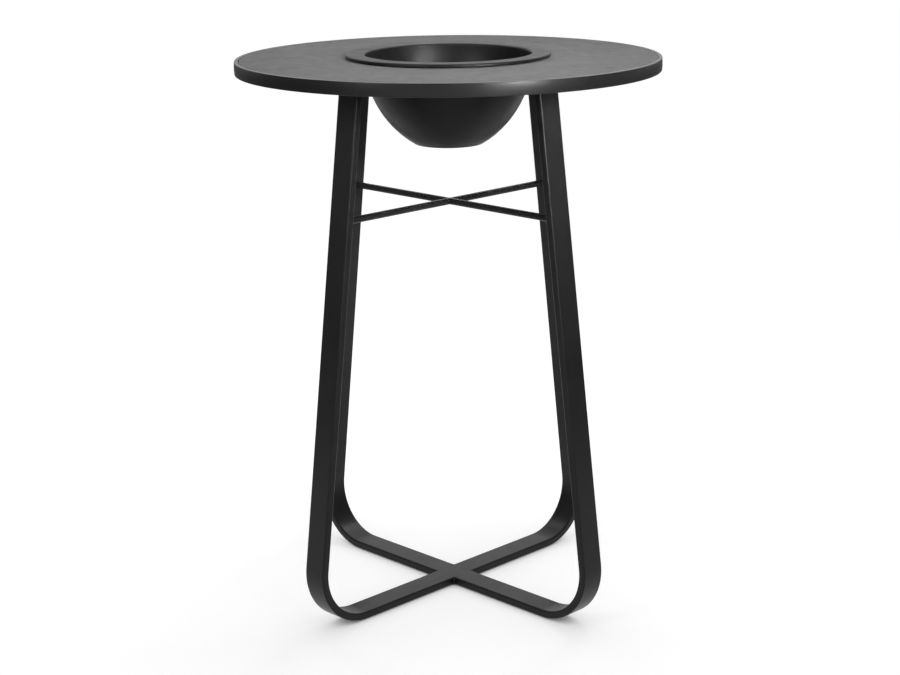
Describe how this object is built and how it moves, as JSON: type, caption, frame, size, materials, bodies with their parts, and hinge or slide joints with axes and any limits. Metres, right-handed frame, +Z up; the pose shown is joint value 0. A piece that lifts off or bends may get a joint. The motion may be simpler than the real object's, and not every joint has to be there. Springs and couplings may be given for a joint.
{
  "type": "bistro table with ice bucket",
  "caption": "Bar-height round bistro table on crossed flat-bar leg frames, with a lift-out ice bucket in the middle of its top.",
  "frame": {"origin": "on the floor under the middle of the table top", "axes": "+Z up; one leg frame stands in the X-Z plane and the other in the Y-Z plane"},
  "size_m": [0.7999, 0.8, 1.0575],
  "materials": {
    "frame_coat": "satin",
    "bucket_coat": "satin",
    "slab": "matte",
    "rubber": "matte",
    "glide_plastic": "matte",
    "screw_zinc": "satin"
  },
  "bodies": {
    "table": {"panel": "slab", "panel_pads": "rubber", "rim_band": "frame_coat", "ledge_ring": "frame_coat", "collar_ring": "frame_coat", "spoke_px": "frame_coat", "spoke_py": "frame_coat", "spoke_nx": "frame_coat", "spoke_ny": "frame_coat", "leg_frame_x": "frame_coat", "leg_frame_y": "frame_coat", "crossing_welds": "frame_coat", "leg_plate_px": "frame_coat", "leg_plate_py": "frame_coat", "leg_plate_nx": "frame_coat", "leg_plate_ny": "frame_coat", "brace_x": "frame_coat", "brace_y": "frame_coat", "glide_px": "glide_plastic", "glide_py": "glide_plastic", "glide_nx": "glide_plastic", "glide_ny": "glide_plastic", "leg_screws": "screw_zinc", "leg_washers": "screw_zinc"},
    "bucket": {"ice_bucket": "bucket_coat", "seal_ring": "rubber"}
  },
  "joints": [
    {"name": "bucket_lift", "type": "slide", "parent": "table", "child": "bucket", "axis": [0, 0, 1], "range_m": [0, 0.22]}
  ]
}
